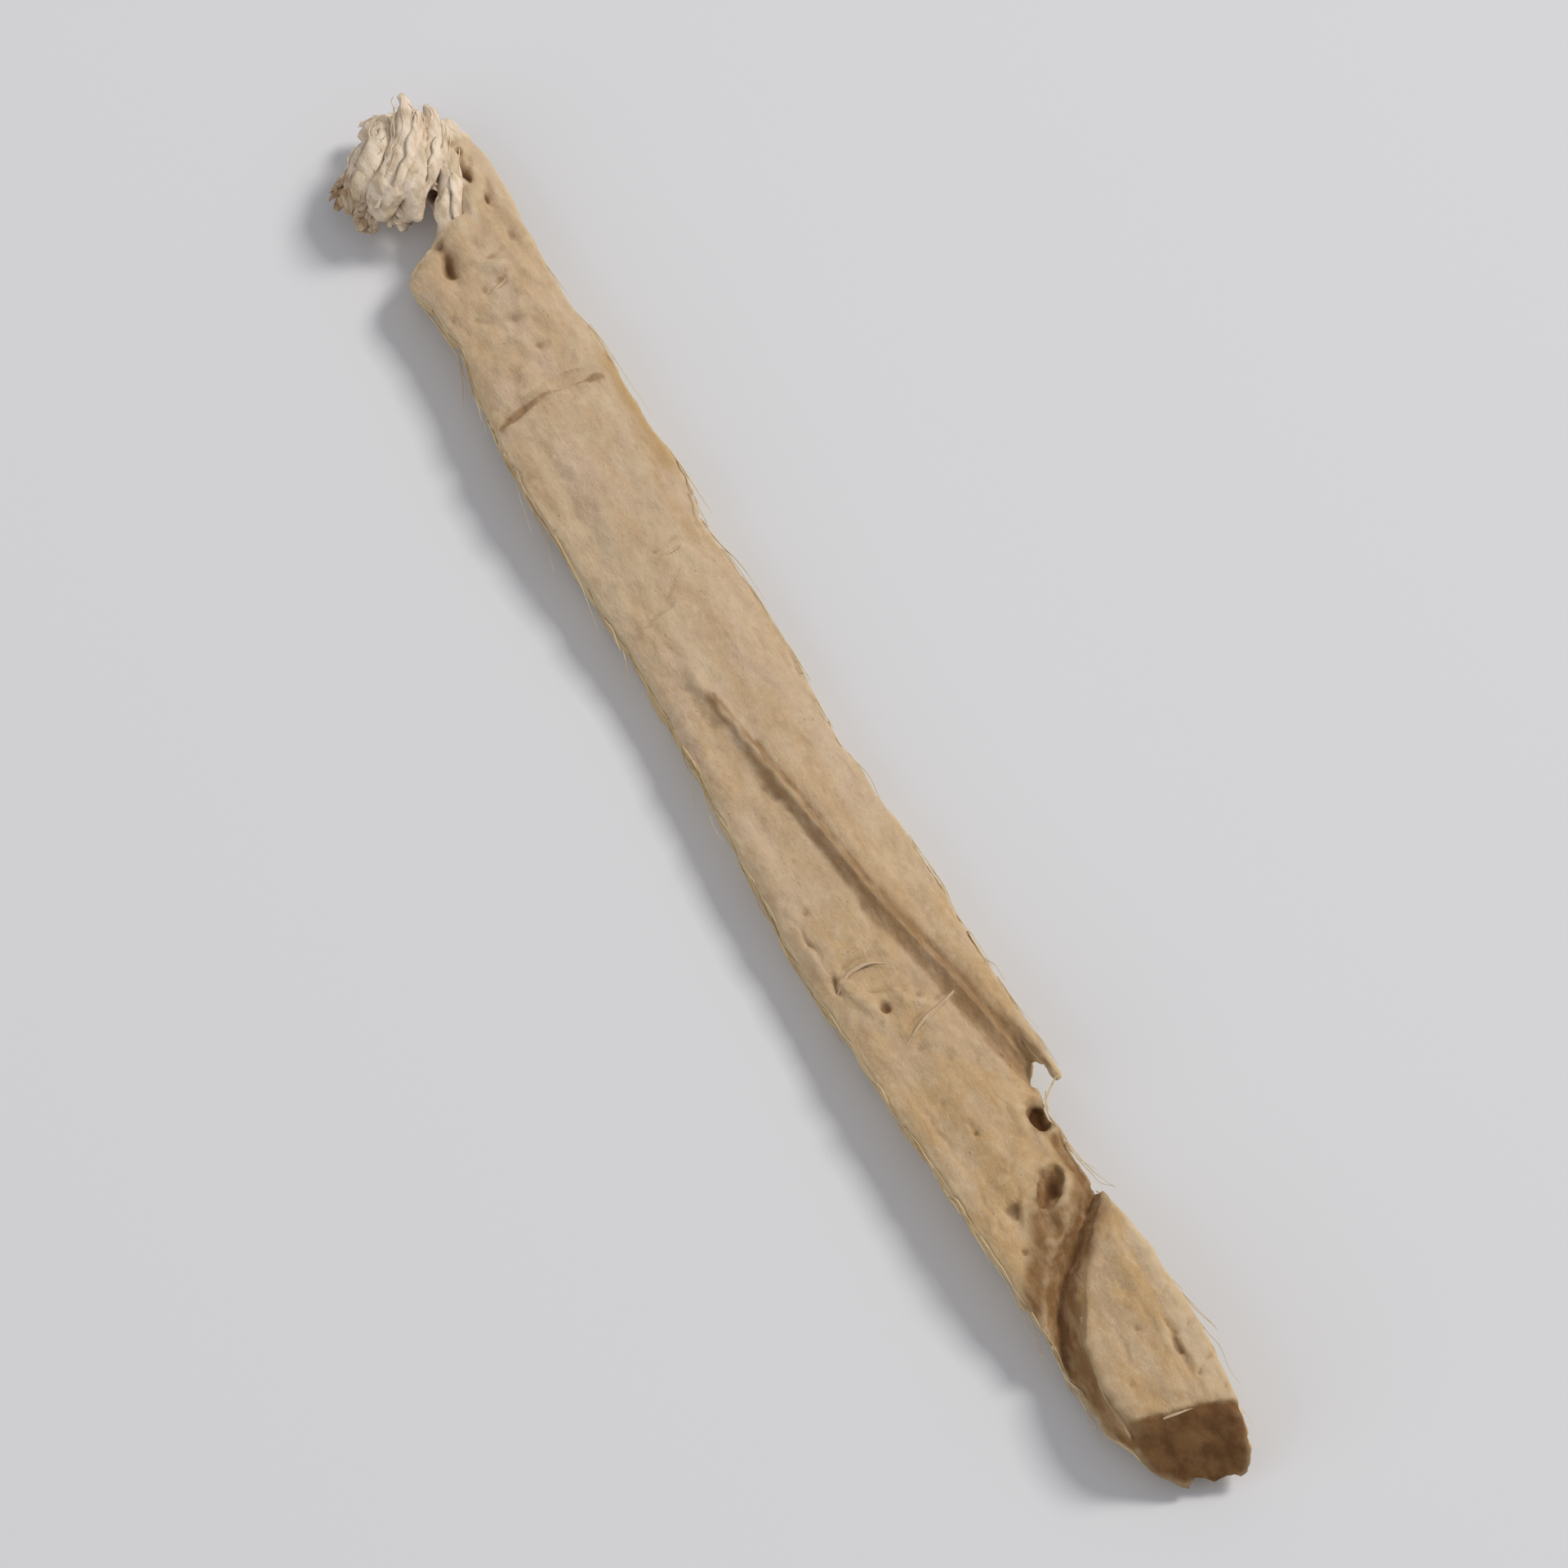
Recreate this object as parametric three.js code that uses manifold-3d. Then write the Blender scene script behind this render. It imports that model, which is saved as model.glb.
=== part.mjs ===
// A cut piece of dried stinging nettle root: one flat strip split off the root, bark side up
// Millimetres: +X runs from the torn knot to the cut tail, +Y across the strip, +Z up
import * as THREE from "three";
import { mergeVertices } from "three/addons/utils/BufferGeometryUtils.js";
import Module from "manifold-3d";

const wasm = await Module();
wasm.setup();

const BARK_COLOUR = 0xc8a985;
const BARK_ROUGHNESS = 0.82;

// Blade: where the lofted strip starts and stops, before the tail is cut
const BLADE_START = -20.3;
const BLADE_END = 25.4;
const STATION_STEP = 0.5;
const BARK_COLUMNS = 14;
const UNDERSIDE_COLUMNS = 10;
const BARK_CROWN = 0.42;
const EDGE_ROUNDING = 0.16;
const EDGE_WANDER = 0.045;

// Edges of the blade from above, as [along, across]
const UPPER_EDGE = [
  [-20.3, 1.6], [-18.2, 1.82], [-16.3, 1.98], [-14.9, 2.12], [-12.6, 2.02], [-10.4, 2.18],
  [-9.1, 2.02], [-8.5, 1.82], [-7.2, 2.02], [-4.0, 2.1], [-1.4, 1.88], [2.1, 2.05], [5.1, 2.1],
  [8.5, 1.86], [10.5, 1.84], [11.1, 1.36], [14.2, 1.15], [17.5, 1.38], [21.3, 1.36], [23.4, 1.04],
  [25.4, 0.7],
];
const LOWER_EDGE = [
  [-20.3, -0.1], [-19.9, -0.7], [-19.3, -1.72], [-18.2, -1.56], [-16.3, -1.5], [-13.4, -1.94],
  [-8.5, -1.98], [-5.7, -1.9], [-1.4, -2.1], [2.8, -2.42], [7.1, -2.55], [13.5, -2.36], [18.2, -2.24],
  [20.6, -2.24], [22.2, -1.98], [24.2, -1.2], [25.4, -0.6],
];
// Thickness of the blade at its edges, as [along, height]
const THICKNESS = [
  [-20.3, 0.75], [-17.0, 0.95], [-8.0, 0.98], [2.0, 1.02], [12.0, 1.06], [18.0, 0.98], [25.4, 0.95],
];
// Height of the split underside above the surface it rests on, before its flat spot is made
const UNDERSIDE_RISE = [
  [-20.3, 0.42], [-14.0, 0.26], [-9.0, 0.16], [-3.5, -0.11], [4.0, -0.12], [9.5, 0.15], [14.0, 0.26],
  [25.4, 0.5],
];
const FIBRE_RELIEF = 0.09;
const FIBRE_PITCH = 0.85;

// Growth rings and wrinkles across the bark: place on the middle line, rise or dent, half width, bow
const RINGS = [
  { at: -18.7, rise: -0.13, spread: 0.34, bow: 0.1 },
  { at: -17.5, rise: -0.12, spread: 0.34, bow: -0.12 },
  { at: -16.4, rise: -0.1, spread: 0.32, bow: 0.14 },
  { at: -14.5, rise: 0.08, spread: 0.5, bow: 0.12 },
  { at: -13.2, rise: 0.07, spread: 0.45, bow: 0.12 },
  { at: -11.1, rise: -0.07, spread: 0.4, bow: 0.1 },
  { at: -8.1, rise: -0.07, spread: 0.38, bow: 0.1 },
  { at: -6.7, rise: -0.06, spread: 0.38, bow: 0.08 },
  { at: -0.8, rise: -0.04, spread: 0.7, bow: 0.1 },
  { at: 14.2, rise: 0.09, spread: 0.5, bow: -0.3 },
];

// Cuts in the bark: the path as [along, across], with the half width and the depth on the way
const RING_CRACK = {
  path: [[-14.05, 1.7], [-14.2, 0.6], [-14.05, -0.6], [-13.8, -1.8]],
  wide: [0.08, 0.15, 0.17, 0.16],
  deep: [0.14, 0.3, 0.34, 0.3],
};
const LONG_SPLIT = {
  path: [[-4.0, -0.72], [-1.4, -0.46], [1.4, -0.14], [4.3, 0.2], [7.1, 0.8], [9.6, 1.18], [11.4, 1.5]],
  wide: [0.08, 0.15, 0.17, 0.24, 0.36, 0.4],
  deep: [0.16, 0.3, 0.36, 0.42, 0.5, 0.5],
};
const TAIL_VALLEY = {
  path: [[14.7, 1.5], [15.6, 0.5], [16.4, -0.3], [17.2, -1.15], [18.6, -1.86], [20.6, -2.25], [22.4, -2.2]],
  wide: [0.24, 0.38, 0.5, 0.62, 0.55],
  deep: [0.4, 0.64, 0.72, 0.74, 0.62],
};
const OBLIQUE_CREASE = {
  path: [[14.5, -0.1], [15.4, -0.5], [16.3, -0.66]],
  wide: [0.04, 0.16, 0.03],
  deep: [0.08, 0.3, 0.06],
};

// Pits in the bark: place, half length, half width, depth and turn in degrees
const PITS = [
  { at: [12.4, 0.86], half: [0.52, 0.38], deep: 0.42, turn: 10 },
  { at: [14.5, 0.06], half: [0.82, 0.42], deep: 0.6, turn: -38 },
  { at: [14.7, -1.2], half: [0.34, 0.18], deep: 0.2, turn: -14 },
  { at: [7.3, -1.15], half: [0.3, 0.14], deep: 0.16, turn: 16 },
  { at: [11.8, -0.95], half: [0.28, 0.13], deep: 0.15, turn: -8 },
  { at: [-19.0, -0.5], half: [0.5, 0.22], deep: 0.3, turn: -50 },
];

// Peeled sliver above the long split: its centre line as [along, across, above the blade's base]
const SLIVER = {
  path: [[2.2, 1.25, 0.84], [5.5, 1.36, 1.08], [8.3, 1.58, 1.2], [10.2, 1.78, 1.34], [11.6, 1.94, 1.48]],
  halfWidth: [0.5, 0.68, 0.44, 0.3, 0.1],
  halfHeight: [0.3, 0.3, 0.3, 0.3, 0.14],
};

// Tail flap: a raised three-sided facet, with its rim from above and its top height along the strip
const FLAP_RIM = [
  [15.1, 1.25], [17.5, 1.5], [20.2, 1.5], [23.6, 1.16], [25.3, 0.3],
  [24.6, -1.1], [22.4, -1.78], [20.8, -1.84], [19.2, -1.6], [17.2, -0.5],
];
const FLAP_TOP = [[14.9, 1.5], [17.0, 1.86], [20.0, 2.02], [25.0, 2.1]];
const FLAP_TILT = 0.09;
const FLAP_DOME = 0.1;
const FLAP_FOOT = 0.75;
const FLAP_SINK = 0.2;
const FLAP_CREASE = {
  path: [[19.3, 0.72], [20.5, 0.58], [21.8, 0.5]],
  wide: [0.03, 0.1, 0.03],
  deep: [0.06, 0.2, 0.06],
};

// Tail cut: a slanting plane through a point of the rim, leaning and turned
const TAIL_CUT_AT = [22.85, 0, 1.95];
const TAIL_CUT_LEAN = 38;
const TAIL_CUT_TURN = 22;

// Torn knot at the head: a ragged core, a neck, and strands of tissue drawn over them
const KNOT_CORE = { at: [-22.5, -0.1, 1.0], half: [1.0, 1.3, 0.85], relief: 0.16 };
const STRANDS = [
  // The pale main lobe
  {
    path: [[-23.43, 1.21, 1.25], [-22.57, 0.29, 1.85], [-21.96, -0.79, 1.9], [-21.58, -1.5, 1.25]],
    half: [0.4, 0.54, 0.56, 0.38],
  },
  // Strands beside it, from the far side on towards the strip
  {
    path: [[-23.95, 0.62, 1.1], [-23.23, -0.3, 1.6], [-22.6, -1.1, 1.55], [-22.1, -1.7, 1.0]],
    half: [0.36, 0.42, 0.4, 0.34],
  },
  {
    path: [[-23.16, 1.5, 1.15], [-22.13, 0.64, 1.7], [-21.44, -0.19, 1.65], [-20.96, -0.6, 1.15]],
    half: [0.34, 0.38, 0.36, 0.3],
  },
  {
    path: [[-22.7, 1.8, 1.05], [-21.8, 1.2, 1.45], [-21.05, 0.48, 1.42], [-20.0, 0.0, 1.1]],
    half: [0.33, 0.35, 0.33, 0.3],
  },
  {
    path: [[-22.0, 1.95, 0.95], [-21.1, 1.4, 1.34], [-20.3, 0.9, 1.32], [-19.2, 0.5, 1.05]],
    half: [0.32, 0.34, 0.33, 0.3],
  },
  // The rim strand that runs on into the upper edge
  {
    path: [[-23.5, 1.6, 0.85], [-22.5, 1.84, 1.0], [-21.0, 1.86, 1.1], [-19.2, 1.74, 1.08], [-16.6, 1.7, 0.95]],
    half: [0.3, 0.34, 0.36, 0.34, 0.3],
  },
  // A fold on the far side of the main lobe
  {
    path: [[-24.0, 0.1, 0.85], [-23.4, -0.85, 1.2], [-22.75, -1.5, 1.1], [-22.1, -2.0, 0.75]],
    half: [0.34, 0.38, 0.36, 0.32],
  },
  // Shreds below the knot
  { path: [[-22.2, -1.1, 1.15], [-21.8, -1.66, 0.9], [-21.4, -2.0, 0.5]], half: [0.36, 0.33, 0.3] },
  { path: [[-21.6, -0.6, 1.2], [-21.2, -1.05, 0.9], [-20.95, -1.3, 0.55]], half: [0.34, 0.32, 0.3] },
  { path: [[-23.2, -0.8, 1.0], [-22.95, -1.6, 0.8], [-22.6, -2.15, 0.5]], half: [0.38, 0.34, 0.3] },
  { path: [[-23.4, 0.5, 1.1], [-24.1, 0.25, 0.95], [-24.45, -0.4, 0.65]], half: [0.38, 0.34, 0.3] },
];
const STRAND_FLATNESS = 0.75;
const THINNEST_HALF = 0.3;
const NECK = { path: [[-22.6, 0.4, 0.95], [-21.0, 0.85, 0.95], [-19.0, 0.7, 0.98]], half: [0.7, 0.76, 0.6] };

// Edges that the joins leave shorter than this are closed up where the solid stays closed
const SHORTEST_EDGE = 0.04;

// Smooth value at x of a list of [x, value] pairs
function along(pairs, x) {
  const last = pairs.length - 1;
  if (x <= pairs[0][0]) return pairs[0][1];
  if (x >= pairs[last][0]) return pairs[last][1];
  const i = pairs.findIndex((pair) => pair[0] > x) - 1;
  const slope = (k) => {
    const a = pairs[Math.max(k - 1, 0)];
    const b = pairs[Math.min(k + 1, last)];
    return (b[1] - a[1]) / (b[0] - a[0]);
  };
  const [x0, y0] = pairs[i];
  const [x1, y1] = pairs[i + 1];
  const run = x1 - x0;
  const t = (x - x0) / run;
  const rise = (3 - 2 * t) * t * t;
  const bend = slope(i) * t * (1 - t) ** 2 - slope(i + 1) * t * t * (1 - t);
  return y0 + (y1 - y0) * rise + run * bend;
}

// Value at t, from 0 to 1, of an even list of numbers
function spread(values, t) {
  const place = t * (values.length - 1);
  const i = Math.min(Math.floor(place), values.length - 2);
  return values[i] + (values[i + 1] - values[i]) * (place - i);
}

// Small irregular wander of an edge, the same in every build
function wander(x, phase) {
  const slow = 0.5 * Math.sin(2.9 * x + phase);
  return slow + 0.3 * Math.sin(5.3 * x + 2 * phase) + 0.2 * Math.sin(8.1 * x - phase);
}

function upperEdge(x) {
  return along(UPPER_EDGE, x) + EDGE_WANDER * wander(x, 0.7);
}

function lowerEdge(x) {
  return along(LOWER_EDGE, x) - EDGE_WANDER * wander(x, 3.1);
}

// Height of the underside at a place on the blade
function undersideHeight(x, y) {
  const drift = 0.3 * Math.sin(0.21 * x + 0.6) + 0.12 * Math.sin(0.55 * x);
  const broad = Math.sin(((y + drift) * 2 * Math.PI) / FIBRE_PITCH);
  const fine = Math.sin((y - drift) * 12.4 + 0.3 * x);
  return along(UNDERSIDE_RISE, x) + FIBRE_RELIEF * (broad + 0.5 * fine);
}

// Height of the bark face at a place on the blade
function barkHeight(x, y) {
  const top = upperEdge(x);
  const low = lowerEdge(x);
  const across = Math.min(Math.abs((2 * y - top - low) / (top - low)), 1);
  let height = Math.max(along(UNDERSIDE_RISE, x), 0) + along(THICKNESS, x);
  height += BARK_CROWN * (1 - across ** 2.6);
  for (const ring of RINGS) {
    const off = (x - ring.at - ring.bow * y * y * 0.5) / ring.spread;
    height += ring.rise * Math.exp(-off * off) * (1 - 0.4 * across);
  }
  return height;
}

// A closed body through a list of closed sections, each turning anticlockwise seen from its front
function loft(sections) {
  const sides = sections[0].length;
  const positions = [];
  const indices = [];
  for (const section of sections) {
    for (const point of section) positions.push(point.x, point.y, point.z);
  }
  const at = (row, side) => row * sides + (side % sides);
  for (let row = 0; row + 1 < sections.length; row += 1) {
    for (let side = 0; side < sides; side += 1) {
      indices.push(at(row, side), at(row, side + 1), at(row + 1, side));
      indices.push(at(row, side + 1), at(row + 1, side + 1), at(row + 1, side));
    }
  }
  const addCap = (row, forward) => {
    const middle = new THREE.Vector3();
    for (const point of sections[row]) middle.addScaledVector(point, 1 / sides);
    const centre = positions.length / 3;
    positions.push(middle.x, middle.y, middle.z);
    for (let side = 0; side < sides; side += 1) {
      const pair = [at(row, side), at(row, side + 1)];
      indices.push(centre, ...(forward ? pair : pair.reverse()));
    }
  };
  addCap(0, false);
  addCap(sections.length - 1, true);
  const geometry = new THREE.BufferGeometry();
  geometry.setAttribute("position", new THREE.Float32BufferAttribute(positions, 3));
  geometry.setIndex(indices);
  return geometry;
}

function solidOf(geometry) {
  const bare = geometry.clone();
  bare.deleteAttribute("normal");
  bare.deleteAttribute("uv");
  const merged = mergeVertices(bare, 1e-5);
  const vertProperties = new Float32Array(merged.attributes.position.array);
  const triVerts = new Uint32Array(merged.index.array);
  return new wasm.Manifold(new wasm.Mesh({ numProp: 3, vertProperties, triVerts }));
}

// A rounded or ridged body that follows a smooth path, with its half width and half height on the way
function bodyAlong(path, halfWidth, halfHeight, sides, steps) {
  const curve = new THREE.CatmullRomCurve3(path.map((point) => new THREE.Vector3(...point)));
  const sections = [];
  for (let step = 0; step <= steps; step += 1) {
    const t = step / steps;
    const centre = curve.getPoint(t);
    const forward = curve.getTangent(t);
    const side = new THREE.Vector3(0, 0, 1).cross(forward).normalize();
    const up = forward.clone().cross(side);
    const section = [];
    for (let corner = 0; corner < sides; corner += 1) {
      const angle = (corner / sides) * 2 * Math.PI;
      section.push(
        centre.clone()
          .addScaledVector(side, Math.cos(angle) * spread(halfWidth, t))
          .addScaledVector(up, Math.sin(angle) * spread(halfHeight, t)),
      );
    }
    sections.push(section);
  }
  return solidOf(loft(sections));
}

// The strip itself: bark face, two split sides and a ridged underside
function makeBlade() {
  const sections = [];
  const count = Math.round((BLADE_END - BLADE_START) / STATION_STEP);
  for (let station = 0; station <= count; station += 1) {
    const x = BLADE_START + ((BLADE_END - BLADE_START) * station) / count;
    const top = upperEdge(x);
    const low = lowerEdge(x);
    const section = [];
    for (let column = 0; column <= BARK_COLUMNS; column += 1) {
      const share = (1 - Math.cos((Math.PI * column) / BARK_COLUMNS)) / 2;
      const y = top + (low - top) * (0.35 * share + (0.65 * column) / BARK_COLUMNS);
      section.push(new THREE.Vector3(x, y, barkHeight(x, y)));
    }
    for (let column = 0; column <= UNDERSIDE_COLUMNS; column += 1) {
      const inset = EDGE_ROUNDING * (1 + 0.6 * wander(x, 5.0));
      const y = low + inset + ((top - low - 2 * inset) * column) / UNDERSIDE_COLUMNS;
      const corner = column === 0 || column === UNDERSIDE_COLUMNS ? EDGE_ROUNDING : 0;
      section.push(new THREE.Vector3(x, y, undersideHeight(x, y) + corner));
    }
    sections.push(section);
  }
  return solidOf(loft(sections));
}

// A cutter with a four-sided section, centred on a surface along a path
function surfaceCutter({ path, wide, deep }, heightAt) {
  const onSurface = path.map(([x, y]) => [x, y, heightAt(x, y) + 0.04]);
  const steps = 3 * (path.length - 1);
  return bodyAlong(onSurface, wide, deep, 4, steps);
}

// A shallow bowl cut into the bark
function pitCutter({ at, half, deep, turn }) {
  const bowl = new THREE.IcosahedronGeometry(1, 1);
  bowl.scale(half[0], half[1], deep);
  bowl.rotateZ(THREE.MathUtils.degToRad(turn));
  bowl.translate(at[0], at[1], barkHeight(at[0], at[1]) + 0.05);
  return solidOf(bowl);
}

function flapHeight(x, y) {
  return along(FLAP_TOP, x) + FLAP_TILT * y;
}

// The raised facet at the tail, domed a little and standing in the blade
function makeFlap() {
  const middle = new THREE.Vector2();
  for (const [x, y] of FLAP_RIM) middle.add(new THREE.Vector2(x, y));
  middle.divideScalar(FLAP_RIM.length);
  const ring = (share, lift) => [...FLAP_RIM].reverse().map(([x, y]) => {
    const across = middle.x + (x - middle.x) * share;
    const aside = middle.y + (y - middle.y) * share;
    return new THREE.Vector3(across, aside, flapHeight(across, aside) + lift);
  });
  const foot = ring(1, 0);
  for (const point of foot) point.z = FLAP_FOOT;
  const dome = [0.95, 0.7, 0.4, 0.15].map((share) => ring(share, FLAP_DOME * (1 - share * share)));
  return solidOf(loft([foot, ring(1, -FLAP_SINK), ...dome]));
}

// The slanting saw cut that ends the tail
function makeTailCut() {
  const reach = 12;
  const block = new THREE.BoxGeometry(reach, reach, reach);
  block.translate(reach / 2, 0, 0);
  block.rotateY(THREE.MathUtils.degToRad(-TAIL_CUT_LEAN));
  block.rotateZ(THREE.MathUtils.degToRad(-TAIL_CUT_TURN));
  block.translate(...TAIL_CUT_AT);
  return solidOf(block);
}

// The ragged core of the knot, an uneven ball with folds
function makeKnotCore() {
  const { at, half, relief } = KNOT_CORE;
  const ball = mergeVertices(barePositions(new THREE.IcosahedronGeometry(1, 4)));
  const points = ball.attributes.position;
  const point = new THREE.Vector3();
  for (let i = 0; i < points.count; i += 1) {
    point.fromBufferAttribute(points, i);
    const broad = Math.sin(5.2 * point.x + 3.9 * point.y);
    const fine = Math.sin(6.3 * point.y - 4.4 * point.z + 1.2);
    point.multiplyScalar(1 + relief * 0.6 * (broad + 0.8 * fine));
    points.setXYZ(i, at[0] + point.x * half[0], at[1] + point.y * half[1], at[2] + point.z * half[2]);
  }
  return solidOf(ball);
}

function barePositions(geometry) {
  geometry.deleteAttribute("normal");
  geometry.deleteAttribute("uv");
  return geometry;
}

function makeStrand({ path, half }, sides, steps) {
  const halfHeight = half.map((size) => Math.max(size * STRAND_FLATNESS, THINNEST_HALF));
  return bodyAlong(path, half, halfHeight, sides, steps);
}

function buildStrip() {
  let strip = makeBlade();
  strip = strip.add(makeFlap());
  strip = strip.add(bodyAlong(SLIVER.path, SLIVER.halfWidth, SLIVER.halfHeight, 8, 14));
  for (const cut of [RING_CRACK, LONG_SPLIT, TAIL_VALLEY, OBLIQUE_CREASE]) {
    strip = strip.subtract(surfaceCutter(cut, barkHeight));
  }
  strip = strip.subtract(surfaceCutter(FLAP_CREASE, (x, y) => flapHeight(x, y) + FLAP_DOME / 2));
  for (const pit of PITS) strip = strip.subtract(pitCutter(pit));
  strip = strip.subtract(makeTailCut());
  strip = strip.add(makeStrand(NECK, 10, 6)).add(makeKnotCore());
  for (const strand of STRANDS) strip = strip.add(makeStrand(strand, 8, 10));
  const above = new THREE.BoxGeometry(80, 40, 20);
  above.translate(0, 0, 10);
  return strip.intersect(solidOf(above));
}

// Place in the list of a face's next corner
function nextCorner(i) {
  return i % 3 === 2 ? i - 2 : i + 1;
}

// Groups of numbers below count: join puts two in one group, find gives the number that stands for a group
function makeGroups(count) {
  const owner = Uint32Array.from({ length: count }, (_, i) => i);
  const find = (i) => {
    let top = i;
    while (owner[top] !== top) top = owner[top];
    owner[i] = top;
    return top;
  };
  const join = (a, b) => {
    owner[find(a)] = find(b);
  };
  return { find, join };
}

// The faces of the outer skin alone: hollows that the joined strands close in are filled
function outerSkin(corners) {
  const { find, join } = makeGroups(corners.length / 3);
  const faceAt = new Map();
  for (let i = 0; i < corners.length; i += 1) {
    const key = [corners[i], corners[nextCorner(i)]].sort((a, b) => a - b).join();
    const face = Math.floor(i / 3);
    if (faceAt.has(key)) join(face, faceAt.get(key));
    faceAt.set(key, face);
  }
  const sizes = new Map();
  for (let face = 0; face < corners.length / 3; face += 1) {
    const group = find(face);
    sizes.set(group, (sizes.get(group) ?? 0) + 1);
  }
  const largest = [...sizes].sort((a, b) => b[1] - a[1])[0][0];
  return corners.filter((_, i) => find(Math.floor(i / 3)) === largest);
}

// Joins the ends of every edge shorter than the limit and drops the faces that this flattens
function withoutShortEdges(positions, corners, limit) {
  const { find, join } = makeGroups(positions.length / 3);
  const step = (a, b, axis) => positions[3 * a + axis] - positions[3 * b + axis];
  const gap = (a, b) => Math.hypot(...[0, 1, 2].map((axis) => step(a, b, axis)));
  for (let i = 0; i < corners.length; i += 1) {
    const next = corners[nextCorner(i)];
    if (gap(corners[i], next) < limit) join(corners[i], next);
  }
  const kept = new Map();
  for (let face = 0; face < corners.length; face += 3) {
    const trio = [0, 1, 2].map((side) => find(corners[face + side]));
    if (new Set(trio).size < 3) continue;
    const key = [...trio].sort((a, b) => a - b).join();
    if (kept.has(key)) kept.delete(key);
    else kept.set(key, trio);
  }
  return [...kept.values()].flat();
}

// Whether every edge has one face on each side
function isClosed(corners) {
  const used = new Set();
  for (let i = 0; i < corners.length; i += 1) {
    const key = `${corners[i]},${corners[nextCorner(i)]}`;
    if (used.has(key)) return false;
    used.add(key);
  }
  return [...used].every((key) => used.has(key.split(",").reverse().join()));
}

function geometryOf(solid) {
  const mesh = solid.getMesh();
  const positions = new Float32Array((mesh.vertProperties.length / mesh.numProp) * 3);
  for (let i = 0; i < positions.length / 3; i += 1) {
    const from = mesh.numProp * i;
    positions.set(mesh.vertProperties.subarray(from, from + 3), 3 * i);
  }
  let limit = SHORTEST_EDGE;
  let corners = withoutShortEdges(positions, mesh.triVerts, limit);
  while (!isClosed(corners)) {
    limit *= 0.93;
    corners = withoutShortEdges(positions, mesh.triVerts, limit);
  }
  const geometry = new THREE.BufferGeometry();
  geometry.setAttribute("position", new THREE.BufferAttribute(positions, 3));
  geometry.setIndex(outerSkin(corners));
  return mergeVertices(geometry, 1e-5);
}

const geometry = geometryOf(buildStrip());
geometry.computeBoundingBox();
const middle = geometry.boundingBox.getCenter(new THREE.Vector3());
geometry.translate(-middle.x, -middle.y, -geometry.boundingBox.min.z);
geometry.computeVertexNormals();

const bark = new THREE.MeshStandardMaterial({ color: BARK_COLOUR, roughness: BARK_ROUGHNESS, metalness: 0 });
const strip = new THREE.Mesh(geometry, bark);
strip.name = "root_strip";

const root = new THREE.Group();
root.add(strip);

export default root;
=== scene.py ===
# The looks of one cut, dried piece of stinging nettle root, lying bark side up
import math
import random

import bpy
import numpy as np
from mathutils import Euler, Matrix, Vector, noise


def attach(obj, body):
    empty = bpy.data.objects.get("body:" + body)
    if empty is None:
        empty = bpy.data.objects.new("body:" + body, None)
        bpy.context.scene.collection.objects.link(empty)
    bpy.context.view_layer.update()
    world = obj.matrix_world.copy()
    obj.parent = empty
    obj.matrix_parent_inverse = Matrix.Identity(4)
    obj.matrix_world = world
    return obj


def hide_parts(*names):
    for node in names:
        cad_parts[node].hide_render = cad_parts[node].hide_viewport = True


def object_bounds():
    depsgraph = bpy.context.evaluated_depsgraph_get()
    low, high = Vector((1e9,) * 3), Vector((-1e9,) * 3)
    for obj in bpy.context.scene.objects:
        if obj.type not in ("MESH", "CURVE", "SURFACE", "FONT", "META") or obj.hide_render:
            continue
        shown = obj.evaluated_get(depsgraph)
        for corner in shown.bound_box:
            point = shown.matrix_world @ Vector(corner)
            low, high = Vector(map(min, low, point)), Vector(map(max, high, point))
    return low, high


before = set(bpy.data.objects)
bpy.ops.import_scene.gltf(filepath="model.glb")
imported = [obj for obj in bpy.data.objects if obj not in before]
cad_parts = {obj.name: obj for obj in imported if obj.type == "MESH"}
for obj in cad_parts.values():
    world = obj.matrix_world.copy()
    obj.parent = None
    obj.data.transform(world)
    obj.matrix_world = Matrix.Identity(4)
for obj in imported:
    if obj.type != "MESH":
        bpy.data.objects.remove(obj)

CAD_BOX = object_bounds()
NODE = "root_strip"
MM = 0.001

# The strip is drawn in millimetres from its own middle, which lies here in the frame
DRAWN_AT = Vector((0.184, 0.169, 0.0))

# Size of the skin's faces in millimetres, how far it is softened, and how many triangles it keeps
SKIN_FACE = 0.062
SOFTENING = 0.5
SOFTENING_ROUNDS = 4
SKIN_FACES_KEPT = 192000

# Places along and across the strip, in millimetres as drawn
KNOT_ENDS = -20.5
TAIL_RIM = Vector((22.85, 0.0, 1.95))
TAIL_LEAN = math.radians(38)
TAIL_TURN = math.radians(22)
RIM_BAND = (-14.6, -10.6)

# Seeds of the random draws
STRAND_SEED = 5
FRAY_SEED = 11
EDGE_SEED = 23


# Selecting and finishing pieces
def deselect_all():
    if bpy.context.mode != "OBJECT":
        bpy.ops.object.mode_set(mode="OBJECT")
    bpy.ops.object.select_all(action="DESELECT")


def make_active(piece):
    deselect_all()
    piece.select_set(True)
    bpy.context.view_layer.objects.active = piece


def apply_modifier(piece, modifier):
    make_active(piece)
    bpy.ops.object.modifier_apply(modifier=modifier.name)


def to_metres(piece):
    """A piece is modelled in millimetres, and brought to its size in the frame when it is finished."""
    make_active(piece)
    piece.scale = (MM, MM, MM)
    bpy.ops.object.transform_apply(location=True, rotation=True, scale=True)


def finish_piece(piece, material):
    piece.data.materials.clear()
    piece.data.materials.append(material)
    make_active(piece)
    bpy.ops.object.shade_smooth()
    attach(piece, "root")


def drawn(x, y, z):
    return Vector((x, y, z)) + DRAWN_AT


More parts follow.
